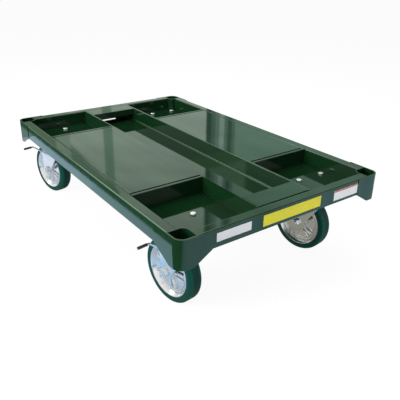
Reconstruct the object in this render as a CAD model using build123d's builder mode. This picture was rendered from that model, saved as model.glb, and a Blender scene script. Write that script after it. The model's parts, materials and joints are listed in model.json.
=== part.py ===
from build123d import *
import os

# Long platform trolley: a welded sheet frame on four swivel casters, the two left ones braked.
# Millimetres. The origin is on the floor under the middle of the deck, +Z is up,
# +Y runs along the trolley to its rear end, +X is its right side.

# Deck and rails
deck_length = 1182.0
deck_width = 757.0
rail_width = 32.5
rail_depth = 52.0
rail_radius = 4.5
sheet = 3.2
bend = 2.0

# Corner guards and the sockets behind them
guard_sheet = 1.7
guard_lining = 3.3
guard_radius = 28.0
guard_side_wrap = 114.0
guard_end_wrap = 101.0
guard_side_foot = 43.0
guard_end_foot = 46.0
guard_drop = 33.3
guard_foot_radius = 9.0
socket = 53.0
socket_sheet = 3.2
socket_radius = 18.0

# Trough along the middle, with a cover at each end
trough_width = 192.0
trough_strip = 6.4
trough_fold = 7.0
cover_length = 70.5
cover_skirt = 25.0
cover_end_gap = 2.5
cover_side_gap = 0.1
drain_width = 80.0
drain_length = 15.0

# Corner trays and the deck panels between them
tray_length = 250.0
cross_width = 10.0
tray_plate_thickness = 6.0
tray_lap = 15.0
tray_inner_gap = 2.0
panel_gap = 3.0
panel_end_gap = 6.0
panel_trough_gap = 0.1
panel_skirt = 25.0
panel_bend = 1.5

# Weld beads
weld_length = 40.0
weld_pitch = 150.0
weld_count = 3
end_weld_length = 18.0
weld_proud = 0.4
fillet_weld = 5.0
tray_weld_length = 32.0
trough_weld_inset = 108.0
rail_weld_inset = 138.0
end_weld_inset = 58.0

# Casters: place in the tray, and the way each wheel trails at rest
bolt_inset_x = 28.0
bolt_inset_y = 40.0
bolt_socket_gap = 4.0
rest_heading = {"front_left": 7.0, "front_right": 8.0, "rear_left": 12.0, "rear_right": 8.0}
trail = 62.0
bolt_spacing_x = 105.0
bolt_spacing_y = 104.0
plate_edge = 16.0
plate_corner = 12.0
caster_plate_thickness = 6.0
bolt_radius = 5.0
bolt_clearance = 0.5
bolt_head_flats = 17.0
bolt_head_height = 5.0
bolt_chamfer = 1.2
bolt_spare = 3.0
nut_height = 8.0

# Swivel head
head_room = 54.0
ball_radius = 4.75
ball_seat = 0.75
ball_count = 16
ball_clearance = 0.3
race_radius = 39.0
race_lip = 7.0
race_rise = 3.0
crown_radius = 50.0
crown_thickness = 6.0
king_pin_radius = 10.0
king_head_radius = 17.0
king_head_height = 3.0
king_nut_flats = 30.0
king_nut_height = 16.0

# Wheel and fork
wheel_radius = 100.0
tyre_width = 44.0
tyre_thickness = 20.0
tyre_shoulder = 9.0
rim_thickness = 8.0
rim_inset = 0.5
groove_width = 10.0
web_thickness = 12.0
disc_thickness = 25.0
hub_wall = 7.0
hub_stand = 2.0
rib_pairs = 5
rib_width = 5.0
rib_spacing = 16.0
rib_height = 5.0
rib_end_gap = 4.0
wheel_edge = 1.0
bearing_radius = 20.0
bearing_width = 12.0
bearing_edge = 0.8
spacer_wall = 3.5
axle_radius = 8.0
axle_flats = 24.0
axle_head_height = 10.0
axle_nut_height = 8.0
axle_nut_chamfer = 1.5
axle_spare = 3.0
axle_end_round = 2.5
washer_width = 7.0
washer_thickness = 2.5
fork_sheet = 4.5
fork_bend = 12.0
fork_side_gap = 0.5
fork_foot_radius = 21.0
fork_nose = 44.0
fork_nose_depth = 15.0
fork_back = 48.0
fork_shoulder_reach = 29.0
fork_shoulder_height = 70.0

# Brake levers on the left casters
brake_pivot_ahead = 46.0
brake_pivot_height = 95.0
brake_pivot_radius = 5.0
brake_pivot_flats = 16.0
brake_pivot_head = 6.0
brake_eye_radius = 13.0
brake_sheet = 4.0
brake_gap = 0.5
shoe_radius = 6.0
shoe_clearance = 16.0
shoe_angle = 68.0
shoe_eye_radius = 11.0
rod_radius = 3.0
rod_bend = 9.0
rod_root_ahead = 20.0
rod_root_height = 72.0
rod_eye_radius = 10.0
pedal_back = 6.0
pedal_height = 110.0
pedal_bend_reach = 79.0
pedal_length = 36.0
cap_wall = 1.3
cap_bend_gap = 8.0
cap_end = 2.0
cap_grooves = 6
cap_groove_pitch = 4.2
cap_groove_radius = 0.7

# Fits
running = 0.05
seat = 0.02
apart = 0.1
pin_end_gap = 0.3

# Frame planes that the pieces share
caster_height = 2 * wheel_radius + head_room
rail_bottom = caster_height + tray_plate_thickness
deck_height = rail_bottom + rail_depth
half_width = deck_width / 2
half_length = deck_length / 2
rail_outer_x = half_width - guard_sheet
rail_outer_y = half_length - guard_sheet
rail_inner_x = rail_outer_x - rail_width
rail_inner_y = rail_outer_y - rail_width
guard_bottom = rail_bottom - guard_drop
guard_height = deck_height - guard_bottom
socket_x = rail_outer_x - socket
socket_y = rail_outer_y - socket
lining_x = rail_outer_x - guard_lining
lining_y = rail_outer_y - guard_lining
trough_half = trough_width / 2
trough_outer_x = trough_half + trough_strip
tray_inner_y = rail_inner_y - tray_length
panel_half = tray_inner_y - cross_width - panel_end_gap
panel_inner_x = trough_outer_x + panel_trough_gap
panel_outer_x = rail_inner_x - panel_gap
cover_outer_y = rail_inner_y - cover_end_gap
cover_inner_y = cover_outer_y - cover_length

# Caster planes, with the king pin's axis as the caster's own Z axis
outer_bolt_x = min(rail_inner_x - bolt_inset_x, socket_x - socket_sheet - bolt_socket_gap)
outer_bolt_y = min(rail_inner_y - bolt_inset_y, socket_y - socket_sheet - bolt_socket_gap)
caster_x = outer_bolt_x - bolt_spacing_x / 2
caster_y = outer_bolt_y - bolt_spacing_y / 2
bolt_hole_radius = bolt_radius + bolt_clearance
plate_bottom = caster_height - caster_plate_thickness
race_gap = 2 * (ball_radius + ball_seat)
crown_top = plate_bottom - race_gap
crown_bottom = crown_top - crown_thickness
ball_height = plate_bottom - race_gap / 2
rim_radius = wheel_radius - tyre_thickness
hub_radius = bearing_radius + hub_wall
hub_half = tyre_width / 2 + hub_stand
fork_inner = hub_half + fork_side_gap
fork_outer = fork_inner + fork_sheet
axle_spot = (trail, wheel_radius)
axle_axis = Axis((0, trail, wheel_radius), (1, 0, 0))
axle_plane = Plane(origin=(0, trail, wheel_radius), x_dir=(1, 0, 0), z_dir=(0, -1, 0))
pivot_spot = (trail - brake_pivot_ahead, wheel_radius + brake_pivot_height)
shoe_reach = Vector(0, wheel_radius + shoe_clearance + shoe_radius, 0).rotate(Axis.X, shoe_angle)
shoe_spot = (trail + shoe_reach.Y, wheel_radius + shoe_reach.Z)
lever_inner = fork_outer + brake_gap
lever_outer = lever_inner + brake_sheet
rod_root_spot = (trail - rod_root_ahead, wheel_radius + rod_root_height)
rod_root = Vector(-lever_inner - brake_sheet / 2, *rod_root_spot)
pedal_y = trail + pedal_back
pedal_z = wheel_radius + pedal_height
pedal_bend = Vector(-pedal_bend_reach, pedal_y, pedal_z)
pedal_tip = Vector(-pedal_bend_reach - pedal_length, pedal_y, pedal_z)

corners = [("front_left", -1, -1), ("front_right", 1, -1), ("rear_left", -1, 1), ("rear_right", 1, 1)]
braked = ["front_left", "rear_left"]

os.makedirs("parts", exist_ok=True)


def write(piece, name):
    """Label a finished piece and write it as its own file."""
    piece.part.label = name
    export_step(piece.part, f"parts/{name}.step")


def write_mirrored(piece, name, across, along):
    """Write a piece made for the right rear corner at the corner that the two signs pick."""
    with BuildPart() as here:
        add(piece.part)
        if across < 0:
            mirror(about=Plane.YZ, mode=Mode.REPLACE)
        if along < 0:
            mirror(about=Plane.XZ, mode=Mode.REPLACE)
    write(here, name)


def write_on_caster(piece, name, across, along, heading):
    """Write a piece made on the caster's own axes at one caster, turned to its heading."""
    with BuildPart() as here:
        with Locations(Location((across * caster_x, along * caster_y, 0), (0, 0, heading))):
            add(piece.part)
    write(here, name)


# Side rails: folded channel, open below, between the corner sockets
with BuildPart() as side_rail:
    with BuildSketch(Plane.XZ) as side_section:
        with Locations((rail_outer_x - rail_width / 2, deck_height)):
            Rectangle(rail_width, rail_depth, align=(Align.CENTER, Align.MAX))
        fillet(side_section.vertices().group_by(Axis.Y)[-1], rail_radius)
        with Locations((rail_outer_x - rail_width / 2, rail_bottom)):
            Rectangle(rail_width - 2 * sheet, rail_depth - sheet, align=(Align.CENTER, Align.MIN),
                      mode=Mode.SUBTRACT)
    extrude(amount=socket_y - socket_sheet, both=True)
write_mirrored(side_rail, "side_rail_left", -1, 1)
write_mirrored(side_rail, "side_rail_right", 1, 1)

# End rails: the same section across the ends
with BuildPart() as end_rail:
    with BuildSketch(Plane.YZ) as end_section:
        with Locations((rail_outer_y - rail_width / 2, deck_height)):
            Rectangle(rail_width, rail_depth, align=(Align.CENTER, Align.MAX))
        fillet(end_section.vertices().group_by(Axis.Y)[-1], rail_radius)
        with Locations((rail_outer_y - rail_width / 2, rail_bottom)):
            Rectangle(rail_width - 2 * sheet, rail_depth - sheet, align=(Align.CENTER, Align.MIN),
                      mode=Mode.SUBTRACT)
    extrude(amount=socket_x - socket_sheet, both=True)
write_mirrored(end_rail, "end_rail_front", 1, -1)
write_mirrored(end_rail, "end_rail_rear", 1, 1)

# Corner guard: bent plate, thicker at the socket, whose two skirts taper below the rails to a short foot
with BuildPart() as corner_guard:
    with BuildSketch(Plane.XY.offset(guard_bottom)) as guard_plan:
        with BuildLine():
            Polyline((half_width - guard_end_wrap, half_length), (half_width, half_length),
                     (half_width, half_length - guard_side_wrap), (rail_outer_x, half_length - guard_side_wrap),
                     (rail_outer_x, rail_outer_y), (half_width - guard_end_wrap, rail_outer_y), close=True)
        make_face()
        with BuildLine():
            Polyline((socket_x, rail_outer_y), (rail_outer_x, rail_outer_y), (rail_outer_x, socket_y),
                     (lining_x, socket_y), (lining_x, lining_y), (socket_x, lining_y), close=True)
        make_face()
        fillet(guard_plan.vertices().sort_by(lambda v: v.X + v.Y)[-2], guard_radius - guard_sheet - guard_lining)
        fillet(guard_plan.vertices().sort_by(lambda v: v.X + v.Y)[-1], guard_radius)
    extrude(amount=guard_height)
    with BuildSketch(Plane.YZ):
        with BuildLine():
            Polyline((half_length - guard_side_wrap, rail_bottom), (half_length - guard_side_foot, guard_bottom),
                     (half_length - guard_side_wrap, guard_bottom), close=True)
        make_face()
    extrude(amount=half_width, mode=Mode.SUBTRACT)
    with BuildSketch(Plane.XZ):
        with BuildLine():
            Polyline((half_width - guard_end_wrap, rail_bottom), (half_width - guard_end_foot, guard_bottom),
                     (half_width - guard_end_wrap, guard_bottom), close=True)
        make_face()
    extrude(amount=-half_length, mode=Mode.SUBTRACT)
    lowest = corner_guard.edges().group_by(Axis.Z)[0]
    fillet(lowest.filter_by(Axis.X).sort_by(Axis.Y)[0], guard_foot_radius)
    lowest = corner_guard.edges().group_by(Axis.Z)[0]
    fillet(lowest.filter_by(Axis.Y).sort_by(Axis.X)[0], guard_foot_radius)

# Socket plate: bent plate that closes the rails' ends and makes the inner half of the socket
with BuildPart() as socket_plate:
    with BuildSketch(Plane.XY.offset(rail_bottom)) as socket_plan:
        with BuildLine():
            Polyline((socket_x, rail_outer_y), (socket_x, socket_y), (rail_outer_x, socket_y),
                     (rail_outer_x, socket_y - socket_sheet), (socket_x - socket_sheet, socket_y - socket_sheet),
                     (socket_x - socket_sheet, rail_outer_y), close=True)
        make_face()
        fillet(socket_plan.vertices().sort_by(lambda v: v.X + v.Y)[1], socket_radius)
        fillet(socket_plan.vertices().sort_by(lambda v: v.X + v.Y)[0], socket_radius + socket_sheet)
    extrude(amount=rail_depth)

# Cross member: inverted channel between the tray and the deck panel
with BuildPart() as cross_member:
    with BuildSketch(Plane.YZ.offset(trough_outer_x)) as cross_section:
        with Locations((tray_inner_y - cross_width / 2, deck_height)):
            Rectangle(cross_width, rail_depth, align=(Align.CENTER, Align.MAX))
        fillet(cross_section.vertices().group_by(Axis.Y)[-1], bend)
        with Locations((tray_inner_y - cross_width / 2, rail_bottom)):
            Rectangle(cross_width - 2 * sheet, rail_depth - sheet, align=(Align.CENTER, Align.MIN),
                      mode=Mode.SUBTRACT)
    extrude(amount=rail_inner_x - trough_outer_x)

# Tray plate: floor of the corner tray, lapped under the rails, with the caster's bolt holes
tray_low_x = trough_half + sheet + tray_inner_gap
tray_low_y = tray_inner_y - cross_width / 2
with BuildPart() as tray_plate:
    with BuildSketch(Plane.XY.offset(caster_height)):
        with Locations((tray_low_x, tray_low_y)):
            Rectangle(rail_inner_x + tray_lap - tray_low_x, rail_inner_y + tray_lap - tray_low_y,
                      align=(Align.MIN, Align.MIN))
        with Locations((caster_x, caster_y)):
            with GridLocations(bolt_spacing_x, bolt_spacing_y, 2, 2):
                Circle(bolt_hole_radius, mode=Mode.SUBTRACT)
    extrude(amount=tray_plate_thickness)

for corner, across, along in corners:
    write_mirrored(corner_guard, f"corner_guard_{corner}", across, along)
    write_mirrored(socket_plate, f"socket_plate_{corner}", across, along)
    write_mirrored(cross_member, f"cross_member_{corner}", across, along)
    write_mirrored(tray_plate, f"tray_plate_{corner}", across, along)

# Deck panel: shallow inverted pan, flush with the rails and close against the trough's edge
with BuildPart() as deck_panel:
    with BuildSketch(Plane.XY.offset(deck_height - panel_skirt)):
        with Locations(((panel_inner_x + panel_outer_x) / 2, 0)):
            Rectangle(panel_outer_x - panel_inner_x, 2 * panel_half)
    extrude(amount=panel_skirt)
    fillet(deck_panel.faces().sort_by(Axis.Z)[-1].edges().sort_by(Axis.X)[1:], panel_bend)
    offset(amount=-sheet, openings=deck_panel.faces().sort_by(Axis.Z)[0])
write_mirrored(deck_panel, "deck_panel_left", -1, 1)
write_mirrored(deck_panel, "deck_panel_right", 1, 1)

# Trough channel: one folded sheet with hemmed walls, and a drain notch in the floor at each end
with BuildPart() as trough_channel:
    with BuildSketch(Plane.XZ) as trough_section:
        with GridLocations(trough_width + trough_strip, 1, 2, 1):
            with Locations((0, deck_height)):
                Rectangle(trough_strip, rail_depth, align=(Align.CENTER, Align.MAX))
        with Locations((0, rail_bottom)):
            Rectangle(trough_width + 2 * sheet, sheet, align=(Align.CENTER, Align.MAX))
        inner_corners = trough_section.vertices().filter_by(lambda v: abs(v.X) < trough_half + sheet / 2)
        fillet(inner_corners.group_by(Axis.Y)[-1], bend)
        inner_corners = trough_section.vertices().filter_by(lambda v: abs(v.X) < trough_half + sheet / 2)
        fillet(inner_corners.group_by(Axis.Y)[0], trough_fold)
    extrude(amount=rail_inner_y, both=True)
    with Locations((0, rail_inner_y, rail_bottom), (0, -rail_inner_y, rail_bottom)):
        Box(drain_width, 2 * drain_length, rail_depth, mode=Mode.SUBTRACT)
write(trough_channel, "trough_channel")

# Trough cover: plate across the trough's end, with a skirt that faces the middle
with BuildPart() as trough_cover:
    with BuildSketch(Plane.YZ) as cover_section:
        with Locations((cover_inner_y, deck_height)):
            Rectangle(cover_length, sheet, align=(Align.MIN, Align.MAX))
            Rectangle(sheet, cover_skirt, align=(Align.MIN, Align.MAX))
        fillet(cover_section.vertices().sort_by(lambda v: v.Y - v.X)[-1], panel_bend)
    extrude(amount=trough_half - cover_side_gap, both=True)
write_mirrored(trough_cover, "trough_cover_front", 1, -1)
write_mirrored(trough_cover, "trough_cover_rear", 1, 1)

# Weld beads: stitches that fill the gap beside the deck panels, and fillets in the trays
bead_height = sheet + weld_proud
trough_weld = ((trough_outer_x, rail_inner_y - trough_weld_inset, rail_bottom), (1, 0, 0), (0, -1, 0))
rail_weld = ((rail_inner_x, rail_inner_y - rail_weld_inset, rail_bottom), (-1, 0, 0), (0, 1, 0))
end_weld = ((trough_outer_x + end_weld_inset, rail_inner_y, rail_bottom), (0, -1, 0), (-1, 0, 0))
with BuildPart() as weld_beads:
    with Locations((0, 0, deck_height - sheet)):
        with GridLocations(2 * rail_inner_x - panel_gap, weld_pitch, 2, weld_count):
            Box(panel_gap, weld_length, bead_height, align=(Align.CENTER, Align.CENTER, Align.MIN))
        with GridLocations(2 * rail_inner_x - panel_gap, 2 * panel_half - end_weld_length, 2, 2):
            Box(panel_gap, end_weld_length, bead_height, align=(Align.CENTER, Align.CENTER, Align.MIN))
    for start, away, along in (trough_weld, rail_weld, end_weld):
        with BuildSketch(Plane(origin=start, x_dir=away, z_dir=along)):
            Triangle(a=fillet_weld, c=fillet_weld, B=90, align=Align.MIN)
        extrude(amount=tray_weld_length / 2, both=True)
    mirror(about=Plane.YZ)
    mirror(about=Plane.XZ)
write(weld_beads, "weld_beads")

# Mounting bolts and nuts, four at each caster
with BuildPart() as bolt:
    with BuildSketch(Plane.XY.offset(rail_bottom)):
        RegularPolygon(bolt_head_flats / 2, 6, major_radius=False)
    extrude(amount=bolt_head_height)
    chamfer(bolt.faces().sort_by(Axis.Z)[-1].edges(), bolt_chamfer)
    with BuildSketch(Plane.XY.offset(rail_bottom)):
        Circle(bolt_radius)
    extrude(amount=-(rail_bottom - plate_bottom + nut_height + bolt_spare))
with BuildPart() as nut:
    with BuildSketch(Plane.XY.offset(plate_bottom)):
        RegularPolygon(bolt_head_flats / 2, 6, major_radius=False)
        Circle(bolt_radius + running, mode=Mode.SUBTRACT)
    extrude(amount=-nut_height)
with BuildPart() as mounting_bolts:
    with GridLocations(2 * caster_x, 2 * caster_y, 2, 2):
        with GridLocations(bolt_spacing_x, bolt_spacing_y, 2, 2):
            add(bolt.part)
write(mounting_bolts, "mounting_bolts")
with BuildPart() as mounting_nuts:
    with GridLocations(2 * caster_x, 2 * caster_y, 2, 2):
        with GridLocations(bolt_spacing_x, bolt_spacing_y, 2, 2):
            add(nut.part)
write(mounting_nuts, "mounting_nuts")

# Caster plate: top plate with the upper ball race under it and a seat for the king pin's head
with BuildPart() as caster_plate:
    with BuildSketch(Plane.XY.offset(plate_bottom)):
        RectangleRounded(bolt_spacing_x + 2 * plate_edge, bolt_spacing_y + 2 * plate_edge, plate_corner)
        with GridLocations(bolt_spacing_x, bolt_spacing_y, 2, 2):
            Circle(bolt_hole_radius, mode=Mode.SUBTRACT)
    extrude(amount=caster_plate_thickness)
    with BuildSketch(Plane.XY.offset(plate_bottom)):
        Circle(race_radius + race_lip)
        Circle(race_radius - race_lip, mode=Mode.SUBTRACT)
    extrude(amount=-race_rise)
    with Locations((0, 0, ball_height)):
        Torus(race_radius, ball_radius + ball_clearance, mode=Mode.SUBTRACT)
    with Locations((0, 0, caster_height)):
        CounterBoreHole(king_pin_radius + seat, king_head_radius + seat, king_head_height)

# King pin: headed pin down through the crown, with its nut
with BuildPart() as king_pin:
    with BuildSketch(Plane.XY.offset(caster_height - king_head_height)):
        Circle(king_head_radius)
    extrude(amount=king_head_height)
    with BuildSketch(Plane.XY.offset(caster_height - king_head_height)):
        Circle(king_pin_radius)
    extrude(amount=-(caster_height - king_head_height - crown_bottom + pin_end_gap))
    with BuildSketch(Plane.XY.offset(crown_bottom - pin_end_gap)):
        RegularPolygon(king_nut_flats / 2, 6, major_radius=False)
    extrude(amount=-king_nut_height)
with BuildPart() as king_pins:
    with GridLocations(2 * caster_x, 2 * caster_y, 2, 2):
        add(king_pin.part)
write(king_pins, "king_pins")

# Swivel balls between the two races
with BuildPart() as swivel_balls:
    with Locations((0, 0, ball_height)):
        with GridLocations(2 * caster_x, 2 * caster_y, 2, 2):
            with PolarLocations(race_radius, ball_count):
                Sphere(ball_radius)
write(swivel_balls, "swivel_balls")

# Fork: pressed yoke over the wheel, with the lower ball race on its crown
yoke_reach = fork_nose + trail + wheel_radius
with BuildPart() as fork:
    with BuildSketch(Plane.YZ):
        with Locations(axle_spot):
            Circle(fork_foot_radius)
        with BuildLine():
            Polyline((-fork_nose, crown_top - fork_nose_depth), (-fork_nose, crown_top), (fork_back, crown_top),
                     (trail + fork_shoulder_reach, wheel_radius + fork_shoulder_height))
        make_hull()
    extrude(amount=fork_outer, both=True)
    with BuildSketch(Plane.XZ) as yoke_section:
        with Locations((0, crown_top)):
            Rectangle(2 * fork_outer, crown_top, align=(Align.CENTER, Align.MAX))
        fillet(yoke_section.vertices().group_by(Axis.Y)[-1], fork_bend)
    extrude(amount=yoke_reach, both=True, mode=Mode.INTERSECT)
    with BuildSketch(Plane.XZ) as yoke_gap:
        with Locations((0, crown_bottom)):
            Rectangle(2 * fork_inner, crown_bottom, align=(Align.CENTER, Align.MAX))
        fillet(yoke_gap.vertices().group_by(Axis.Y)[-1], fork_bend - fork_sheet)
    extrude(amount=yoke_reach, both=True, mode=Mode.SUBTRACT)
    with BuildSketch(Plane.XY.offset(crown_bottom)):
        Circle(crown_radius)
    extrude(amount=crown_thickness)
    with BuildSketch(Plane.XY.offset(crown_top)):
        Circle(race_radius + race_lip)
        Circle(race_radius - race_lip, mode=Mode.SUBTRACT)
    extrude(amount=race_rise)
    with Locations((0, 0, ball_height)):
        Torus(race_radius, ball_radius + ball_clearance, mode=Mode.SUBTRACT)
    with BuildSketch(Plane.XY.offset(crown_bottom)):
        Circle(king_pin_radius + running)
    extrude(amount=crown_thickness, mode=Mode.SUBTRACT)
    with BuildSketch(Plane.YZ):
        with Locations(axle_spot):
            Circle(axle_radius + seat)
    extrude(amount=fork_outer, both=True, mode=Mode.SUBTRACT)

# The braked fork has a hole in its outer leg for the lever's pivot
with BuildPart() as braked_fork:
    add(fork.part)
    with BuildSketch(Plane.YZ):
        with Locations(pivot_spot):
            Circle(brake_pivot_radius + seat)
    extrude(amount=-fork_outer, mode=Mode.SUBTRACT)

# Axle set: bolt, washer, nut and the spacer between the bearings
nut_side = fork_outer + apart + washer_thickness + apart
with BuildPart() as axle_nut:
    with BuildSketch(Plane.YZ.offset(-nut_side)):
        with Locations(axle_spot):
            RegularPolygon(axle_flats / 2, 6, major_radius=False)
            Circle(axle_radius + running, mode=Mode.SUBTRACT)
    extrude(amount=-axle_nut_height)
    chamfer(axle_nut.faces().sort_by(Axis.X)[0].outer_wire().edges(), axle_nut_chamfer)
with BuildPart() as axle:
    with BuildSketch(Plane.YZ.offset(fork_outer)):
        with Locations(axle_spot):
            Circle(axle_radius)
    extrude(amount=-(fork_outer + nut_side + axle_nut_height + axle_spare))
    fillet(axle.edges().sort_by(Axis.X)[0], axle_end_round)
    with BuildSketch(Plane.YZ.offset(fork_outer)):
        with Locations(axle_spot):
            RegularPolygon(axle_flats / 2, 6, major_radius=False)
    extrude(amount=axle_head_height)
    with BuildSketch(Plane.YZ.offset(-fork_outer - apart)):
        with Locations(axle_spot):
            Circle(axle_radius + washer_width)
            Circle(axle_radius + running, mode=Mode.SUBTRACT)
    extrude(amount=-washer_thickness)
    add(axle_nut.part)
    with BuildSketch(Plane.YZ):
        with Locations(axle_spot):
            Circle(axle_radius + running + spacer_wall)
            Circle(axle_radius + running, mode=Mode.SUBTRACT)
    extrude(amount=hub_half - bearing_width - pin_end_gap, both=True)

# Wheel centre: hub, ribbed disc, grooved web and rim
spacer_bore = axle_radius + running + spacer_wall + pin_end_gap
disc_radius = rim_radius - rim_thickness - groove_width
rib_start = hub_radius - hub_wall / 2
with BuildPart() as wheel_centre:
    with BuildSketch(axle_plane) as wheel_section:
        Rectangle(2 * hub_half, hub_radius, align=(Align.CENTER, Align.MIN))
        Rectangle(disc_thickness, disc_radius, align=(Align.CENTER, Align.MIN))
        Rectangle(web_thickness, rim_radius - rim_thickness / 2, align=(Align.CENTER, Align.MIN))
        with Locations((0, rim_radius)):
            Rectangle(tyre_width - 2 * rim_inset, rim_thickness, align=(Align.CENTER, Align.MAX))
        fillet(wheel_section.vertices().filter_by(lambda v: v.Y > hub_radius / 2), wheel_edge)
        Rectangle(2 * hub_half, spacer_bore, align=(Align.CENTER, Align.MIN), mode=Mode.SUBTRACT)
        with GridLocations(2 * hub_half - bearing_width, 1, 2, 1):
            Rectangle(bearing_width, bearing_radius + seat, align=(Align.CENTER, Align.MIN), mode=Mode.SUBTRACT)
    revolve(axis=axle_axis)
    with BuildSketch(Plane(origin=(disc_thickness / 2, trail, wheel_radius), x_dir=(0, 1, 0), z_dir=(1, 0, 0))):
        with PolarLocations(0, rib_pairs):
            with GridLocations(1, rib_spacing, 1, 2):
                with Locations((rib_start, 0)):
                    Rectangle(disc_radius - rib_end_gap - rib_start, rib_width, align=(Align.MIN, Align.CENTER))
    extrude(amount=rib_height)
    mirror(about=Plane.YZ)

# Bearings: one pressed into each end of the hub
with BuildPart() as bearings:
    with BuildSketch(axle_plane):
        with GridLocations(2 * hub_half - bearing_width, 1, 2, 1):
            with Locations((0, axle_radius + running)):
                Rectangle(bearing_width, bearing_radius - axle_radius - running, align=(Align.CENTER, Align.MIN))
    revolve(axis=axle_axis)
    chamfer(bearings.edges().filter_by(GeomType.CIRCLE).group_by(SortBy.RADIUS)[-1], bearing_edge)

# Tyre: rubber band with round shoulders
with BuildPart() as tyre:
    with BuildSketch(axle_plane) as tyre_section:
        with Locations((0, rim_radius)):
            Rectangle(tyre_width, tyre_thickness, align=(Align.CENTER, Align.MIN))
        fillet(tyre_section.vertices().group_by(Axis.Y)[-1], tyre_shoulder)
    revolve(axis=axle_axis)

# Brake lever: side plate with a shoe across the tread and a bent foot rod out to the side
with BuildPart() as brake_lever:
    with BuildSketch(Plane.YZ.offset(-lever_inner)):
        with Locations(pivot_spot):
            Circle(brake_eye_radius)
        with Locations(shoe_spot):
            Circle(shoe_eye_radius)
        with Locations(rod_root_spot):
            Circle(rod_eye_radius)
        make_hull()
        with Locations(pivot_spot):
            Circle(brake_pivot_radius + running, mode=Mode.SUBTRACT)
    extrude(amount=-brake_sheet)
    with BuildSketch(Plane.YZ.offset(-lever_inner)):
        with Locations(shoe_spot):
            Circle(shoe_radius)
    extrude(amount=lever_inner + tyre_width / 2)
    with BuildLine() as rod_path:
        FilletPolyline(rod_root, pedal_bend, pedal_tip, radius=rod_bend)
    with BuildSketch(Plane(origin=rod_root, z_dir=pedal_bend - rod_root)):
        Circle(rod_radius)
    sweep(path=rod_path.wire())

# Pedal cap: ribbed rubber sleeve on the end of the foot rod
cap_length = pedal_length - cap_bend_gap + cap_end
cap_radius = rod_radius + cap_wall
with BuildPart() as pedal_cap:
    with BuildSketch(Plane(origin=pedal_tip, x_dir=(1, 0, 0), z_dir=(0, -1, 0))):
        with Locations((-cap_end, 0)):
            Rectangle(cap_length, cap_radius, align=(Align.MIN, Align.MIN))
        with Locations((cap_length / 2 - cap_end, cap_radius)):
            with GridLocations(cap_groove_pitch, 1, cap_grooves, 1):
                Circle(cap_groove_radius, mode=Mode.SUBTRACT)
        with Locations((-running, 0)):
            Rectangle(cap_length, rod_radius + running, align=(Align.MIN, Align.MIN), mode=Mode.SUBTRACT)
    revolve(axis=Axis(pedal_tip, (1, 0, 0)))

# Brake pivot: shoulder bolt through lever and fork leg
with BuildPart() as brake_pivot:
    with BuildSketch(Plane.YZ.offset(-fork_inner)):
        with Locations(pivot_spot):
            Circle(brake_pivot_radius)
    extrude(amount=-(lever_outer + apart - fork_inner))
    with BuildSketch(Plane.YZ.offset(-lever_outer - apart)):
        with Locations(pivot_spot):
            RegularPolygon(brake_pivot_flats / 2, 6, major_radius=False)
    extrude(amount=-brake_pivot_head)

for corner, across, along in corners:
    heading = rest_heading[corner]
    write_on_caster(caster_plate, f"caster_plate_{corner}", across, along, 0)
    if corner in braked:
        write_on_caster(braked_fork, f"fork_{corner}", across, along, heading)
        write_on_caster(brake_lever, f"brake_lever_{corner}", across, along, heading)
        write_on_caster(pedal_cap, f"pedal_cap_{corner}", across, along, heading)
        write_on_caster(brake_pivot, f"brake_pivot_{corner}", across, along, heading)
    else:
        write_on_caster(fork, f"fork_{corner}", across, along, heading)
    write_on_caster(axle, f"axle_{corner}", across, along, heading)
    write_on_caster(wheel_centre, f"wheel_centre_{corner}", across, along, heading)
    write_on_caster(bearings, f"bearings_{corner}", across, along, heading)
    write_on_caster(tyre, f"tyre_{corner}", across, along, heading)
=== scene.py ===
import json
import math

import bmesh
import bpy
from mathutils import Matrix, Vector


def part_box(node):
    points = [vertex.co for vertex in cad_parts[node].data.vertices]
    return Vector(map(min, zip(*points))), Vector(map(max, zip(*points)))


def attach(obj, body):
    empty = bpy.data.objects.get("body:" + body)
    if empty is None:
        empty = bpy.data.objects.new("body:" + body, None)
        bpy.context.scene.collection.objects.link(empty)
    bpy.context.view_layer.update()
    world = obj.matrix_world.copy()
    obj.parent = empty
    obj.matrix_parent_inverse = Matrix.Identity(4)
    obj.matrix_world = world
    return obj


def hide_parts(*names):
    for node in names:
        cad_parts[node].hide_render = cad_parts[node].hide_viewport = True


# Long platform trolley: the looks of its paint, plated casters, tyres, welds and blank labels.
# Metres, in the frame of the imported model: the floor is z = 0, +Y runs to the rear end.

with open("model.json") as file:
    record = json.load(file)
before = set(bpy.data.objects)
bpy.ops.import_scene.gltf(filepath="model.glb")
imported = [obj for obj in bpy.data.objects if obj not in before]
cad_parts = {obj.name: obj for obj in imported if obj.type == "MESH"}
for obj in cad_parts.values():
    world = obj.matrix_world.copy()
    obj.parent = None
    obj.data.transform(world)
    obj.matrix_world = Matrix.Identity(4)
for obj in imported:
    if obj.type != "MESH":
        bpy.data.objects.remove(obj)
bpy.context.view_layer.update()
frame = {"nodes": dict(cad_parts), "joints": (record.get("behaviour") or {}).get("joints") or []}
nodes = frame["nodes"]
joints = {joint["name"]: joint for joint in frame["joints"]}
scene = bpy.context.scene
scene.view_settings.view_transform = "Standard"

# Camera: the photograph's viewing angle, lens and framing, in a square image
IMAGE_PX = 400
FOCAL_PX = 491.5
OPTICAL_CENTRE_PX = (201.12, 181.56)
VIEW_AZIMUTH = 36.405
VIEW_DOWN = 23.707
VIEW_ROLL = 1.086
CAMERA_PLACE = (-0.9193, -1.4078, 0.8970)
SENSOR_MM = 36.0
CAMERA_REACH = 200.0

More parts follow.
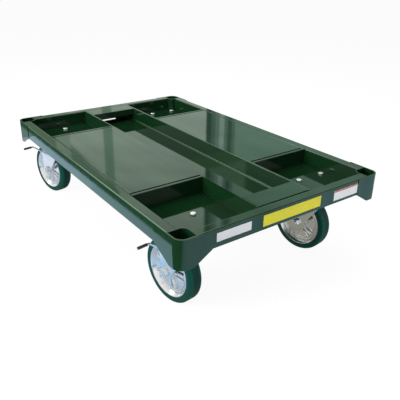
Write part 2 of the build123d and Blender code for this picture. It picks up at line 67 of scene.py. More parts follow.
# Labels on the front rail: left and right edge, and how far below the deck their top and bottom lie, and the
# stripe along the top of one of them
LABELS = {
    "label_white": (-0.2648, -0.1516, 0.0122, 0.0372),
    "label_yellow": (-0.1103, 0.1116, 0.0092, 0.0424),
    "label_striped": (0.1690, 0.2765, 0.0115, 0.0430),
}
LABEL_THICKNESS = 0.0003
LABEL_CORNER = 0.0015
LABEL_CORNER_STEPS = 3
LABEL_STRIPE = (0.1700, 0.2755, 0.0122, 0.0165)

# Glowing studio cards behind the object, which only the gloss shows and which paint the reflected
# surroundings:
# how much further back than CARD_DISTANCE, the bearing from the camera and lowest height of the left and the
# right edge, and the colour
CARD_DISTANCE = 5.2
CARD_TOP = 3.0
CARD_STREAKS = 0.16
UPRIGHT_CARDS = {
    "card_far_left": (0.00, (2.0, 0.0), (19.0, 0.0), (0.34, 0.50, 0.34)),
    "card_left_fade": (0.00, (19.0, 0.0), (20.6, 0.0), (0.62, 0.78, 0.64)),
    "card_eave": (0.00, (20.6, 1.58), (26.0, 2.16), (0.35, 0.48, 0.38)),
    "card_post": (0.02, (24.5, 0.0), (25.6, 0.0), (0.41, 0.61, 0.47)),
    "card_bright": (0.04, (20.6, 0.0), (36.9, 0.0), (0.85, 1.04, 0.88)),
    "card_left_edge": (0.00, (36.9, 0.0), (37.5, 0.0), (0.08, 0.14, 0.13)),
    "card_left_reveal": (0.00, (37.5, 0.0), (38.0, 0.0), (0.20, 0.31, 0.28)),
    "card_left_frame": (0.00, (38.0, 0.0), (38.5, 0.0), (0.34, 0.50, 0.46)),
    "card_gap": (0.02, (38.5, 0.0), (39.1, 0.0), (0.66, 0.90, 0.80)),
    "card_right_frame": (0.00, (39.1, 0.0), (39.5, 0.0), (0.28, 0.42, 0.38)),
    "card_right_edge": (0.00, (39.5, 0.0), (40.0, 0.0), (0.12, 0.21, 0.19)),
    "card_right_reveal": (0.00, (40.0, 0.0), (40.4, 0.0), (0.25, 0.40, 0.34)),
    "card_right": (0.00, (40.4, 0.0), (75.0, 0.0), (0.43, 0.68, 0.54)),
}

# Glowing cards that show mostly along rounded edges: bright ones that paint highlights on the left side's
# edges, by their foot, head and colour, and a dark one that paints shade on the front edges, by its low
# corner, high corner, height and colour
LEFT_CARD_SPAN = (-1.05, -0.20)
LEFT_CARD_PLACE = 1.0
LEFT_CARDS = {
    "card_left_front": (1.28, 1.80, (4.6, 6.4, 4.7)),
    "card_left_middle": (1.00, 1.28, (3.2, 4.6, 3.3)),
    "card_left_rear": (0.86, 1.00, (2.7, 3.8, 2.8)),
    "card_left_end": (0.76, 0.86, (1.3, 1.8, 1.3)),
}
FRONT_CARD = ((-0.2, -1.45), (2.2, -0.60), 0.9, (0.06, 0.09, 0.07))

# Glowing coloured sheets laid on the floor, which only the gloss shows and which paint the reflected ground:
# low corner, high corner and colour
FLOOR_SHEETS = {
    "sheet_blue": ((-0.636, -0.70), (-0.46, 0.45), (0.76, 1.12, 1.34)),
    "sheet_blue_middle": ((-0.636, 0.45), (-0.46, 0.60), (0.86, 1.28, 1.50)),
    "sheet_blue_edge": ((-0.636, 0.60), (-0.60, 1.27), (0.92, 1.30, 1.62)),
    "sheet_lavender": ((-0.60, 0.60), (-0.46, 1.27), (1.00, 1.04, 1.24)),
    "sheet_rear_corner": ((-0.636, 1.27), (-0.46, 2.40), (0.40, 0.60, 0.62)),
    "sheet_sky": ((-0.46, -0.70), (-0.345, 0.20), (0.46, 0.66, 0.90)),
    "sheet_pale": ((-0.345, -0.70), (-0.29, 0.20), (0.50, 0.54, 0.56)),
    "sheet_rear": ((-0.46, 0.20), (-0.29, 1.60), (0.62, 0.70, 0.82)),
    # painted shade: the shadowed floor under the deck, as the wheels and forks reflect it
    "sheet_shade": ((-0.29, -0.70), (1.00, 1.20), (0.30, 0.30, 0.245)),
    "sheet_front": ((-0.50, -3.0), (3.0, -0.70), (0.46, 0.62, 0.86)),
    "sheet_corner": ((-0.60, -3.0), (-0.50, -0.70), (0.28, 0.38, 0.50)),
    "sheet_dark_corner": ((-0.636, -3.0), (-0.60, -0.70), (0.10, 0.15, 0.16)),
    "sheet_dark_side": ((-4.0, -3.0), (-0.636, 3.0), (0.06, 0.11, 0.10)),
}
SHEET_LIFT = 0.002

# Studio: the pale floor and the white surround, each with how much it lights the object and how bright it
# looks, and the soft lamps with their place, width, height and watts
FLOOR_SIZE = 60.0
FLOOR_GREY = 0.18
FLOOR_GLOW = (0.40, 0.93)
SURROUND_GLOW = (0.20, 1.0)
LAMP_AIM = (0.0, 0.0, 0.25)
LAMPS = {
    "key_lamp": ((-3.0, 0.1, 1.25), 1.8, 1.2, 60.0),
    "top_lamp": ((0.2, 0.5, 2.8), 2.4, 2.4, 26.0),
    "front_lamp": ((0.9, -3.0, 0.16), 2.0, 0.24, 34.0),
}
LAMPS_IN_GLOSS = ("top_lamp",)

# Dust in the folds of the trough: the thickness of its floor, how far above the floor the dust starts and
# ends, and how rough it is
TROUGH_SHEET = 0.0032
DUST_START = (0.0003, 0.0012)
DUST_END = (0.0060, 0.0075)
DUST_ROUGHNESS = 0.50

# Rounded edges of the pressed forks
FORK_EDGE = 0.0008
FORK_EDGE_STEPS = 3
FORK_FLAT_ANGLE = 0.5
FORK_EDGE_ANGLE = 35.0

# Corners closer than this are one corner
JOIN_DISTANCE = 1e-6

# Wheel centre: half-width, radius and rounding of each corner of its turned section, from the bore to the
# rim, and the ribs on its disc: height, length and width, taper to the crest, place along the axle, out from
# it and to the side, rounding, splay, and the turn of the first pair
WHEEL_SECTION = (
    (0.0120, 0.0130, 0.0), (0.0120, 0.0200, 0.0), (0.0240, 0.0200, 0.0006), (0.0240, 0.0260, 0.0020),
    (0.0130, 0.0280, 0.0030), (0.0090, 0.0580, 0.0010), (0.0125, 0.0595, 0.0010), (0.0125, 0.0625, 0.0010),
    (0.0065, 0.0645, 0.0020), (0.0065, 0.0690, 0.0020), (0.0110, 0.0715, 0.0020), (0.0205, 0.0775, 0.0010),
    (0.0215, 0.0790, 0.0006), (0.0215, 0.0800, 0.0),
)
WHEEL_CORNER_STEPS = 4
WHEEL_STEPS = 112
RIB_PAIRS = 5
RIB_SIZE = (0.0100, 0.0360, 0.0105)
RIB_TAPER = 0.60
RIB_PLACE = (0.0130, 0.0430, 0.0080)
RIB_ROUND = 0.0024
RIB_ROUND_STEPS = 3
RIB_SPLAY = 4.0
RIB_TURN = {"front_left": 37.0, "front_right": 0.0, "rear_left": -10.0, "rear_right": 20.0}

# Tyres: painted light on the rubber: the half-widths between which the painted shade of the tread gives way
# to the painted sheen of the shoulders, and how much of the tint that takes up, with the rest left to the
# mottling
SHADE_TO_SHEEN_SPAN = (0.009, 0.022)
SHEEN_SHARE = 0.75

# Weld runs: the ripples of the metal and the drawn-in ends, the stitches beside the deck panels, the fillets
# in the trays, the seams of the tray walls and the corner guards, and the ends of the gap beside each trough
# cover
RUN_SIDES = 10
RIPPLE_PITCH = 0.0024
RIPPLE_DEPTH = 0.09
RIPPLE_RINGS = 4
RUN_END = 6
RUN_END_DRAW = 0.7
STITCH_SIZE = (0.0064, 0.0034)
STITCH_LENGTH = 0.030
STITCH_PLACES = (-0.162, -0.012, 0.134)
STITCH_SINK = 0.0012
FILLET_SIZE = (0.0052, 0.0052)
FILLET_LENGTH = 0.032
TROUGH_FILLET_INSET = 0.108
RAIL_FILLET_INSET = 0.138
END_FILLET_INSET = 0.058
SEAM_SIZE = (0.0075, 0.0075)
SEAM_TOP_GAP = 0.0060
GUARD_SEAM_SIZE = (0.0030, 0.0030)
COVER_RUN_SIZE = (0.0056, 0.0044)
COVER_RUN_LEFT = 0.022
COVER_RUN_RIGHT = 0.006

# Filler in the gaps beside the deck panels
SEAL_DEPTH = 0.0016
SEAL_THICKNESS = 0.0030


def add_node(tree, kind, sockets=None, **settings):
    """A new shader node with its settings and sockets filled."""
    node = tree.nodes.new(kind)
    for name, value in settings.items():
        setattr(node, name, value)
    fill(tree, node, sockets or {})
    return node


def fill(tree, node, sockets):
    """Fill a node's sockets: a plain value is set, and another node's output is linked."""
    for name, value in sockets.items():
        if isinstance(value, bpy.types.NodeSocket):
            tree.links.new(value, node.inputs[name])
        else:
            node.inputs[name].default_value = value


def new_finish(name):
    """A new material, its node tree, its shader and the Object coordinates that its patterns read."""
    material = bpy.data.materials.new(name)
    material.use_nodes = True
    tree = material.node_tree
    shader = tree.nodes["Principled BSDF"]
    place = add_node(tree, "ShaderNodeTexCoord").outputs["Object"]
    return material, tree, shader, place


def noise(tree, place, scale, detail=2.0, roughness=0.5, stretch=None):
    """Noise on the given coordinates, stretched along an axis where a stretch is given."""
    if stretch:
        place = add_node(tree, "ShaderNodeMapping", {"Vector": place, "Scale": stretch}).outputs["Vector"]
    sockets = {"Vector": place, "Scale": scale, "Detail": detail, "Roughness": roughness}
    return add_node(tree, "ShaderNodeTexNoise", sockets).outputs["Fac"]


def between(tree, value, low, high, start=0.3, end=0.7):
    """A pattern value carried from start..end to low..high."""
    sockets = {"Value": value, "From Min": start, "From Max": end, "To Min": low, "To Max": high}
    return add_node(tree, "ShaderNodeMapRange", sockets).outputs["Result"]


def combine(tree, operation, *values):
    """Plain values or other nodes' outputs, combined by the given operation."""
    return add_node(tree, "ShaderNodeMath", dict(enumerate(values)), operation=operation).outputs["Value"]


def colours(tree, value, *stops):
    """A colour ramp over a pattern value; each stop is a position and a linear colour."""
    ramp = add_node(tree, "ShaderNodeValToRGB", {"Fac": value})
    elements = ramp.color_ramp.elements
    for element, (position, colour) in zip(elements, stops):
        element.position = position
        element.color = (*colour, 1.0)
    for position, colour in stops[2:]:
        elements.new(position).color = (*colour, 1.0)
    return ramp.outputs["Color"]


def bump(tree, height, distance, below=None):
    """A bump of the given depth in metres, on top of another bump where one is given."""
    sockets = {"Height": height, "Distance": distance, "Strength": 1.0}
    if below:
        sockets["Normal"] = below
    return add_node(tree, "ShaderNodeBump", sockets).outputs["Normal"]


def enamel(name, fold_z=None):
    """Dark green stove enamel with orange peel, slow waves and streaks, and dust in the folds, if any."""
    material, tree, shader, place = new_finish(name)
    cloud = noise(tree, place, 5.0, 4.0)
    peel = noise(tree, place, 190.0, 1.0)
    wave = noise(tree, place, 7.0, 1.0)
    dust = noise(tree, place, 60.0, 6.0, 0.7)
    streak = noise(tree, place, 1.0, 2.0, 0.5, (12.0, 0.9, 0.9))
    waves = bump(tree, wave, 0.00008)
    roughness = between(tree, dust, 0.035, 0.075)
    if fold_z:
        height = add_node(tree, "ShaderNodeSeparateXYZ", {"Vector": place}).outputs["Z"]
        rise = between(tree, height, 0.0, DUST_ROUGHNESS, *(fold_z + above for above in DUST_START))
        fall = between(tree, height, 1.0, 0.0, *(fold_z + above for above in DUST_END))
        settled = combine(tree, "MULTIPLY", rise, fall)
        roughness = combine(tree, "MAXIMUM", roughness, settled)
    fill(tree, shader, {
        "Base Color": colours(tree, cloud, (0.25, (0.0070, 0.042, 0.0130)), (0.75, (0.0090, 0.052, 0.0165))),
        "Roughness": roughness,
        "IOR": 1.52,
        "Specular IOR Level": between(tree, streak, 0.38, 0.62),
        "Normal": bump(tree, peel, 0.000002, waves),
    })
    return material


def zinc_plate():
    """Bright zinc plating: a pressed sheet's fine grain, with a faint blue and straw tint."""
    material, tree, shader, place = new_finish("zinc_plate")
    tint = noise(tree, place, 22.0, 3.0)
    grain = noise(tree, place, 900.0, 2.0)
    smear = noise(tree, place, 70.0, 5.0, 0.65)
    fill(tree, shader, {
        "Base Color": colours(tree, tint, (0.3, (0.69, 0.73, 0.77)), (0.7, (0.78, 0.78, 0.76))),
        "Metallic": 1.0,
        "Roughness": between(tree, smear, 0.12, 0.22),
        "Normal": bump(tree, grain, 0.000001),
    })
    return material


def bolt_zinc():
    """Dull zinc of the bolt heads, which scatters the light more than the pressed sheet does."""
    material, tree, shader, place = new_finish("bolt_zinc")
    grain = noise(tree, place, 500.0, 3.0)
    smear = noise(tree, place, 160.0, 4.0)
    fill(tree, shader, {
        "Base Color": colours(tree, smear, (0.3, (0.80, 0.82, 0.82)), (0.7, (0.90, 0.91, 0.90))),
        "Metallic": 1.0,
        "Roughness": between(tree, smear, 0.36, 0.50),
        "Normal": bump(tree, grain, 0.000004),
    })
    return material


def bright_steel():
    """Hardened and ground steel of the balls and bearings."""
    material, tree, shader, place = new_finish("bright_steel")
    smear = noise(tree, place, 150.0, 4.0)
    fill(tree, shader, {
        "Base Color": colours(tree, smear, (0.3, (0.50, 0.51, 0.53)), (0.7, (0.62, 0.62, 0.62))),
        "Metallic": 1.0,
        "Roughness": between(tree, smear, 0.12, 0.25),
    })
    return material


def cast_aluminium():
    """Die-cast aluminium of the wheel centres, faintly stained."""
    material, tree, shader, place = new_finish("cast_aluminium")
    skin = noise(tree, place, 420.0, 3.0, 0.6)
    stain = noise(tree, place, 45.0, 4.0)
    fill(tree, shader, {
        "Base Color": colours(tree, stain, (0.3, (0.70, 0.71, 0.72)), (0.7, (0.82, 0.82, 0.82))),
        "Metallic": 1.0,
        "Roughness": between(tree, stain, 0.16, 0.26),
        "Normal": bump(tree, skin, 0.000002),
    })
    return material


def green_rubber(axle):
    """Dark green tyre rubber, painted lighter on the shoulders as a sheen and darker on the tread as shade.
    """
    material, tree, shader, place = new_finish("green_rubber")
    cloud = noise(tree, place, 18.0, 4.0)
    skin = noise(tree, place, 700.0, 2.0)
    from_axle = add_node(tree, "ShaderNodeVectorMath", {0: place, 1: axle["pos_m"]}, operation="SUBTRACT")
    across = add_node(tree, "ShaderNodeVectorMath", {0: from_axle.outputs["Vector"], 1: axle["axis"]},
                      operation="DOT_PRODUCT")
    offset = combine(tree, "ABSOLUTE", across.outputs["Value"])
    # painted light: the tread painted darker as shade, the shoulders lighter as a sheen
    shoulder_sheen = between(tree, offset, 0.0, SHEEN_SHARE, *SHADE_TO_SHEEN_SPAN)
    mottled = combine(tree, "MULTIPLY_ADD", cloud, 1.0 - SHEEN_SHARE, shoulder_sheen)
    fill(tree, shader, {
        "Base Color": colours(tree, mottled, (0.10, (0.008, 0.040, 0.036)), (0.90, (0.005, 0.060, 0.046)),
                              (0.50, (0.004, 0.092, 0.062))),
        "Roughness": between(tree, cloud, 0.40, 0.52),
        "Specular IOR Level": 0.10,
        "Normal": bump(tree, skin, 0.000012),
    })
    return material


def black_rubber():
    """Matt black rubber of the foot sleeves."""
    material, tree, shader, place = new_finish("black_rubber")
    cloud = noise(tree, place, 120.0, 4.0)
    fill(tree, shader, {
        "Base Color": colours(tree, cloud, (0.3, (0.030, 0.030, 0.031)), (0.7, (0.052, 0.051, 0.050))),
        "Roughness": between(tree, cloud, 0.5, 0.65),
        "Normal": bump(tree, cloud, 0.00002),
    })
    return material


def vinyl(name, dull, bright):
    """Vinyl label stock in one colour, slightly uneven."""
    material, tree, shader, place = new_finish(name)
    cloud = noise(tree, place, 40.0, 4.0)
    fill(tree, shader, {
        "Base Color": colours(tree, cloud, (0.3, dull), (0.7, bright)),
        "Roughness": between(tree, cloud, 0.28, 0.4),
        "Normal": bump(tree, noise(tree, place, 260.0), 0.000008),
    })
    return material


def white_sweep():
    """The pale floor: white to the camera and in reflections, with the object's soft shadow on it."""
    material = bpy.data.materials.new("white_sweep")
    material.use_nodes = True
    tree = material.node_tree
    tree.nodes.remove(tree.nodes["Principled BSDF"])
    seen = seen_ray(tree)
    matt = add_node(tree, "ShaderNodeBsdfDiffuse", {"Color": (FLOOR_GREY, FLOOR_GREY, FLOOR_GREY, 1.0)})
    light = add_node(tree, "ShaderNodeEmission", {"Strength": between(tree, seen, *FLOOR_GLOW, 0.0, 1.0)})
    both = add_node(tree, "ShaderNodeAddShader", {0: matt.outputs["BSDF"], 1: light.outputs["Emission"]})
    fill(tree, tree.nodes["Material Output"], {"Surface": both.outputs["Shader"]})
    return material


def seen_ray(tree):
    """1 for the rays that show the background: from the camera, off a gloss or through a clear piece."""
    path = add_node(tree, "ShaderNodeLightPath").outputs
    first = combine(tree, "MAXIMUM", path["Is Camera Ray"], path["Is Glossy Ray"])
    return combine(tree, "MAXIMUM", first, path["Is Transmission Ray"])


def place_camera():
    """The camera at the photograph's viewing angle."""
    azimuth, down, roll = (math.radians(angle) for angle in (VIEW_AZIMUTH, VIEW_DOWN, VIEW_ROLL))
    ahead = Vector((math.sin(azimuth) * math.cos(down), math.cos(azimuth) * math.cos(down),
                    -math.sin(down)))
    level = Vector((math.cos(azimuth), -math.sin(azimuth), 0.0))
    below = ahead.cross(level)
    right = level * math.cos(roll) - below * math.sin(roll)
    under = level * math.sin(roll) + below * math.cos(roll)
    data = bpy.data.cameras.new("camera")
    data.sensor_width = SENSOR_MM
    data.lens = FOCAL_PX / IMAGE_PX * SENSOR_MM
    data.shift_x = 0.5 - OPTICAL_CENTRE_PX[0] / IMAGE_PX
    data.shift_y = OPTICAL_CENTRE_PX[1] / IMAGE_PX - 0.5
    data.clip_end = CAMERA_REACH
    camera = bpy.data.objects.new("camera", data)
    turn = Matrix((right, -under, -ahead)).transposed().to_4x4()
    camera.matrix_world = Matrix.Translation(CAMERA_PLACE) @ turn
    scene.collection.objects.link(camera)
    scene.camera = camera


def new_piece(name, mesh_maker, material, body="frame"):
    """A finished piece made from a bmesh, riding on a body."""
    mesh = bpy.data.meshes.new(name)
    mesh_maker.to_mesh(mesh)
    mesh_maker.free()
    mesh.materials.append(material)
    piece = bpy.data.objects.new(name, mesh)
    scene.collection.objects.link(piece)
    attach(piece, body)
    return piece


def wheel_centre(turn):
    """Hub, disc, groove and rim turned about the axle, with pairs of rounded ribs on both faces."""
    wheel = bmesh.new()
    bmesh.ops.create_cube(wheel, size=1.0, matrix=Matrix.Diagonal((*RIB_SIZE, 1.0)))
    crest = [corner for corner in wheel.verts if corner.co.x > 0.0]
    bmesh.ops.scale(wheel, verts=crest, vec=(1.0, 1.0, RIB_TAPER))
    bmesh.ops.bevel(wheel, geom=wheel.edges[:], offset=RIB_ROUND, affect="EDGES", segments=RIB_ROUND_STEPS,
                    profile=0.5, material=-1)
    first = wheel.verts[:] + wheel.edges[:] + wheel.faces[:]
    for pair in range(RIB_PAIRS):
        spoke = Matrix.Rotation(math.radians(turn + 360.0 / RIB_PAIRS * pair), 4, "X")
        for face in (-1, 1):
            for side in (-1, 1):
                place = Matrix.Translation((face * RIB_PLACE[0], RIB_PLACE[1], side * RIB_PLACE[2]))
                splay = Matrix.Rotation(math.radians(side * RIB_SPLAY), 4, "X")
                splay = splay @ Matrix.Rotation(math.pi * (face < 0), 4, "Y")
                rib = bmesh.ops.duplicate(wheel, geom=first)["geom"]
                corners = [part for part in rib if isinstance(part, bmesh.types.BMVert)]
                bmesh.ops.transform(wheel, matrix=spoke @ place @ splay, verts=corners)
    corners = [part for part in first if isinstance(part, bmesh.types.BMVert)]
    bmesh.ops.delete(wheel, geom=corners, context="VERTS")

    ribs = set(wheel.verts)
    far_side = tuple((-half, radius, rounding) for half, radius, rounding in reversed(WHEEL_SECTION))
    section = WHEEL_SECTION + far_side
    outline = [wheel.verts.new((half, radius, 0.0)) for half, radius, rounding in section]
    wheel.faces.new(outline)
    for amount in sorted({rounding for half, radius, rounding in section if rounding}):
        chosen = [corner for corner, (half, radius, rounding) in zip(outline, section) if rounding == amount]
        bmesh.ops.bevel(wheel, geom=chosen, offset=amount, affect="VERTICES", segments=WHEEL_CORNER_STEPS,
                        profile=0.5, material=-1)
    blank = [face for face in wheel.faces if not ribs.intersection(face.verts)]
    bmesh.ops.delete(wheel, geom=blank, context="FACES_ONLY")
    edge = [corner for corner in wheel.verts if corner not in ribs]
    edge += [line for line in wheel.edges if not ribs.intersection(line.verts)]
    bmesh.ops.spin(wheel, geom=edge, cent=(0.0, 0.0, 0.0), axis=(1.0, 0.0, 0.0), angle=2.0 * math.pi,
                   steps=WHEEL_STEPS, use_merge=True)
    bmesh.ops.remove_doubles(wheel, verts=wheel.verts[:], dist=JOIN_DISTANCE)
    bmesh.ops.recalc_face_normals(wheel, faces=wheel.faces[:])
    for face in wheel.faces:
        face.smooth = True
    return wheel


def make_wheel_centres(material):
    """The four wheel centres, each on its own axle."""
    for corner, turn in RIB_TURN.items():
        axle = joints["roll_" + corner]
        heading = math.atan2(axle["axis"][1], axle["axis"][0])
        wheel = wheel_centre(turn)
        bmesh.ops.transform(wheel, verts=wheel.verts[:],
                            matrix=Matrix.Translation(axle["pos_m"]) @ Matrix.Rotation(heading, 4, "Z"))
        piece = new_piece("ribbed_centre_" + corner, wheel, material, "wheel_" + corner)
        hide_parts("wheel_centre_" + corner)


def weld_run(welds, start, end, size):
    """A rippled run of weld metal from start to end, oval in section and drawn in at its ends."""
    laid = set(welds.verts)
    start, end = Vector(start), Vector(end)
    length = (end - start).length
    bmesh.ops.create_cone(welds, cap_ends=True, segments=RUN_SIDES, radius1=0.5, radius2=0.5, depth=1.0)
    long_edges = [edge for edge in welds.edges
                  if not laid.intersection(edge.verts) and edge.verts[0].co.z * edge.verts[1].co.z < 0.0]
    bmesh.ops.subdivide_edges(welds, edges=long_edges, cuts=round(RIPPLE_RINGS * length / RIPPLE_PITCH),
                              use_grid_fill=True)
    fresh = [point for point in welds.verts if point not in laid]
    for point in fresh:
        x, y, along = point.co
        swell = 1.0 + RIPPLE_DEPTH * math.cos(2.0 * math.pi * along * length / RIPPLE_PITCH)
        swell *= 1.0 - RUN_END_DRAW * abs(2.0 * along) ** RUN_END
        point.co = (x * size[0] * swell, y * size[1] * swell, along * length)
    turn = (end - start).to_track_quat("Z", "Y").to_matrix().to_4x4()
    bmesh.ops.transform(welds, verts=fresh, matrix=Matrix.Translation((start + end) / 2) @ turn)


def make_welds(material):
    """The stitches, fillets and seams that hold the sheets together, as one painted piece."""
    rail_low, rail_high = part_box("side_rail_right")
    rail_x, floor_z, deck_z = rail_low.x, rail_low.z, rail_high.z
    end_low, end_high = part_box("end_rail_rear")
    end_y = end_low.y
    trough_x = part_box("trough_channel")[1].x
    cross_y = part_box("cross_member_rear_right")[1].y
    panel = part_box("deck_panel_right")[1]
    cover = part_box("trough_cover_rear")[1]
    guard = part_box("corner_guard_rear_right")[0]
    gap_x = (rail_x + panel.x) / 2
    gap_y = (cover.y + end_y) / 2
    stitch_z = deck_z - STITCH_SINK
    seam_z = deck_z - SEAM_TOP_GAP
    half = FILLET_LENGTH / 2
    welds = bmesh.new()
    for across in (-1, 1):
        ends = [along * (panel.y - STITCH_LENGTH / 2) for along in (-1, 1)]
        for y in (*STITCH_PLACES, *ends):
            weld_run(welds, (across * gap_x, y - STITCH_LENGTH / 2, stitch_z),
                     (across * gap_x, y + STITCH_LENGTH / 2, stitch_z), STITCH_SIZE)
        for along in (-1, 1):
            y = along * (end_y - TROUGH_FILLET_INSET)
            weld_run(welds, (across * trough_x, y - half, floor_z), (across * trough_x, y + half, floor_z),
                     FILLET_SIZE)
            y = along * (end_y - RAIL_FILLET_INSET)
            weld_run(welds, (across * rail_x, y - half, floor_z), (across * rail_x, y + half, floor_z),
                     FILLET_SIZE)
            x, y = across * (trough_x + END_FILLET_INSET), along * end_y
            weld_run(welds, (x - half, y, floor_z), (x + half, y, floor_z), FILLET_SIZE)
            y = along * cross_y
            weld_run(welds, (across * trough_x, y, floor_z), (across * rail_x, y, floor_z), SEAM_SIZE)
            weld_run(welds, (across * rail_x, y, floor_z), (across * rail_x, y, seam_z), SEAM_SIZE)
            inner = cover.x - (COVER_RUN_LEFT if across < 0 else COVER_RUN_RIGHT)
            weld_run(welds, (across * inner, along * gap_y, stitch_z),
                     (across * trough_x, along * gap_y, stitch_z), COVER_RUN_SIZE)
            for x, y in ((across * rail_high.x, along * guard.y), (across * guard.x, along * end_high.y)):
                weld_run(welds, (x, y, floor_z), (x, y, seam_z), GUARD_SEAM_SIZE)
    bmesh.ops.recalc_face_normals(welds, faces=welds.faces[:])
    for face in welds.faces:
        face.smooth = True
    piece = new_piece("weld_runs", welds, material, "frame")
    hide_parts("weld_beads")


def make_seals(material):
    """The filler in the gaps between the deck panels and the side rails, a little below the deck."""
    rail_low, rail_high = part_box("side_rail_right")
    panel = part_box("deck_panel_right")[1]
    top = rail_high.z - SEAL_DEPTH
    seals = bmesh.new()
    for across in (-1, 1):
        place = Matrix.Translation((across * (rail_low.x + panel.x) / 2, 0.0, top - SEAL_THICKNESS / 2))
        size = Matrix.Diagonal((rail_low.x - panel.x, 2.0 * panel.y, SEAL_THICKNESS, 1.0))
        bmesh.ops.create_cube(seals, size=1.0, matrix=place @ size)
    new_piece("panel_seals", seals, material, "frame")


def label_sheet(left, right, drop_top, drop_bottom, proud=0.0):
    """A thin vinyl sheet with rounded corners on the front rail's outer face, or proud of it."""
    low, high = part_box("end_rail_front")
    face_y, deck_z = low.y - proud, high.z
    sheet = bmesh.new()
    corners = [(left, -drop_bottom), (right, -drop_bottom), (right, -drop_top), (left, -drop_top)]
    outline = [sheet.verts.new((x, face_y, deck_z + z)) for x, z in corners]
    sheet.faces.new(outline)
    bmesh.ops.bevel(sheet, geom=outline, offset=LABEL_CORNER, affect="VERTICES", segments=LABEL_CORNER_STEPS,
                    profile=0.5, material=-1)
    back = sheet.faces[:]
    front = bmesh.ops.extrude_face_region(sheet, geom=back)["geom"]
    moved = [part for part in front if isinstance(part, bmesh.types.BMVert)]
    bmesh.ops.translate(sheet, verts=moved, vec=(0.0, -LABEL_THICKNESS, 0.0))
    bmesh.ops.recalc_face_normals(sheet, faces=sheet.faces[:])
    return sheet


def make_labels():
    """Three blank labels on the front rail."""
    stocks = {
        "label_white": vinyl("white_vinyl", (0.78, 0.79, 0.82), (0.84, 0.85, 0.87)),
        "label_yellow": vinyl("yellow_vinyl", (0.72, 0.66, 0.008), (0.80, 0.73, 0.012)),
        "label_striped": vinyl("pale_vinyl", (0.78, 0.79, 0.80), (0.84, 0.85, 0.86)),
    }
    for name, span in LABELS.items():
        new_piece(name, label_sheet(*span), stocks[name])
    orange = vinyl("orange_vinyl", (0.50, 0.105, 0.035), (0.58, 0.13, 0.045))
    new_piece("label_stripe", label_sheet(*LABEL_STRIPE, LABEL_THICKNESS), orange)


def dress_nodes(finishes):
    """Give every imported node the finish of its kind."""
    kinds = {
        "zinc_plate": ("caster_plate", "fork", "axle", "king_pins", "brake_lever", "brake_pivot"),
        "dusty_enamel": ("trough_channel",),
        "bolt_zinc": ("mounting",),
        "bright_steel": ("bearings", "swivel_balls"),
        "cast_aluminium": ("wheel_centre",),
        "black_rubber": ("pedal_cap",),
    }
    for name, node in nodes.items():
        finish = next((kind for kind, starts in kinds.items() if name.startswith(starts)), "gloss_enamel")
        node.data.materials.clear()
        if name.startswith("tyre"):
            node.data.materials.append(green_rubber(joints[name.replace("tyre", "roll")]))
        else:
            node.data.materials.append(finishes[finish])
        if name.startswith("fork"):
            round_edges(node)


def round_edges(node):
    """Round off a pressed piece's sharp edges, as the press leaves them."""
    weld = node.modifiers.new("join", "WELD")
    weld.merge_threshold = JOIN_DISTANCE
    flat = node.modifiers.new("flats", "DECIMATE")
    flat.decimate_type = "DISSOLVE"
    flat.angle_limit = math.radians(FORK_FLAT_ANGLE)
    soft = node.modifiers.new("round", "BEVEL")
    soft.limit_method = "ANGLE"
    soft.angle_limit = math.radians(FORK_EDGE_ANGLE)
    soft.width = FORK_EDGE
    soft.segments = FORK_EDGE_STEPS
    soft.harden_normals = True


def glow(name, colour):
    """Glowing card colour with faint level streaks."""
    material = bpy.data.materials.new(name)
    material.use_nodes = True
    tree = material.node_tree
    tree.nodes.remove(tree.nodes["Principled BSDF"])
    place = add_node(tree, "ShaderNodeTexCoord").outputs["Object"]
    streaks = noise(tree, place, 1.0, 3.0, 0.5, (0.4, 0.4, 5.0))
    strength = between(tree, streaks, 1.0 - CARD_STREAKS, 1.0 + CARD_STREAKS)
    light = add_node(tree, "ShaderNodeEmission", {"Color": (*colour, 1.0), "Strength": strength})
    fill(tree, tree.nodes["Material Output"], {"Surface": light.outputs["Emission"]})
    return material


def make_card(name, corners, colour):
    """A flat glowing card on the set that only the gloss of the object shows, painting a reflection on it.
    """
    card = bmesh.new()
    card.faces.new([card.verts.new(corner) for corner in corners])
    mesh = bpy.data.meshes.new(name)
    card.to_mesh(mesh)
    card.free()
    mesh.materials.append(glow(name, colour))
    flat = bpy.data.objects.new(name, mesh)
    flat.visible_camera = False
    flat.visible_diffuse = False
    flat.visible_transmission = False
    flat.visible_shadow = False
    scene.collection.objects.link(flat)


def level_corners(low, high, height):
    """The corners of a level rectangle at the given height."""
    (x0, y0), (x1, y1) = low, high
    return [(x0, y0, height), (x1, y0, height), (x1, y1, height), (x0, y1, height)]


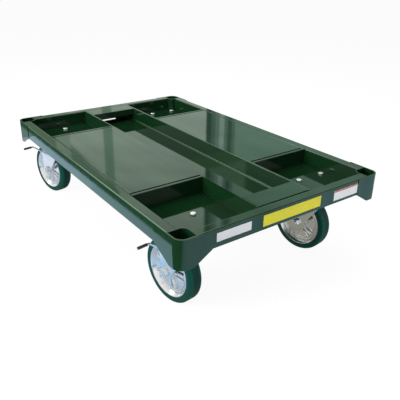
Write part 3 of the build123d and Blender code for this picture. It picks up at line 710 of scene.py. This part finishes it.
def make_cards():
    """The glowing cards behind and above the object and the sheets on the floor round it, which paint its
    reflections.
    """
    for name, (behind, *edges, colour) in UPRIGHT_CARDS.items():
        feet = []
        for bearing, foot in edges:
            reach = (CARD_DISTANCE + behind) / math.cos(math.radians(bearing - VIEW_AZIMUTH))
            turn = math.radians(bearing)
            x, y = CAMERA_PLACE[0] + reach * math.sin(turn), CAMERA_PLACE[1] + reach * math.cos(turn)
            feet.append((x, y, foot))
        heads = [(x, y, CARD_TOP) for x, y, foot in reversed(feet)]
        make_card(name, feet + heads, colour)
    for name, (foot, head, colour) in LEFT_CARDS.items():
        feet = [(x, LEFT_CARD_PLACE, foot) for x in LEFT_CARD_SPAN]
        heads = [(x, LEFT_CARD_PLACE, head) for x in reversed(LEFT_CARD_SPAN)]
        make_card(name, feet + heads, colour)
    low, high, height, colour = FRONT_CARD
    make_card("card_front_edges", level_corners(low, high, height), colour)
    for name, (low, high, colour) in FLOOR_SHEETS.items():
        make_card(name, level_corners(low, high, SHEET_LIFT), colour)


def make_stage():
    """Pale floor, white surround and soft studio lamps."""
    floor = bmesh.new()
    bmesh.ops.create_grid(floor, x_segments=1, y_segments=1, size=FLOOR_SIZE)
    mesh = bpy.data.meshes.new("floor")
    floor.to_mesh(mesh)
    floor.free()
    mesh.materials.append(white_sweep())
    sweep = bpy.data.objects.new("floor", mesh)
    scene.collection.objects.link(sweep)

    world = bpy.data.worlds.new("surround")
    scene.world = world
    world.use_nodes = True
    tree = world.node_tree
    strength = between(tree, seen_ray(tree), *SURROUND_GLOW, 0.0, 1.0)
    fill(tree, tree.nodes["Background"], {"Color": (1.0, 1.0, 1.0, 1.0), "Strength": strength})

    for name, (place, width, height, watts) in LAMPS.items():
        data = bpy.data.lights.new(name, "AREA")
        data.shape = "RECTANGLE"
        data.size = width
        data.size_y = height
        data.energy = watts
        lamp = bpy.data.objects.new(name, data)
        lamp.location = place
        lamp.rotation_euler = (Vector(LAMP_AIM) - Vector(place)).to_track_quat("-Z", "Y").to_euler()
        lamp.visible_glossy = name in LAMPS_IN_GLOSS
        scene.collection.objects.link(lamp)


finishes = {maker.__name__: maker() for maker in (zinc_plate, bolt_zinc, bright_steel, cast_aluminium,
                                                  black_rubber)}
finishes["gloss_enamel"] = enamel("gloss_enamel")
finishes["dusty_enamel"] = enamel("dusty_enamel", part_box("trough_channel")[0].z + TROUGH_SHEET)
place_camera()
make_stage()
make_cards()
dress_nodes(finishes)
make_wheel_centres(finishes["cast_aluminium"])
make_welds(finishes["gloss_enamel"])
make_seals(finishes["gloss_enamel"])
make_labels()
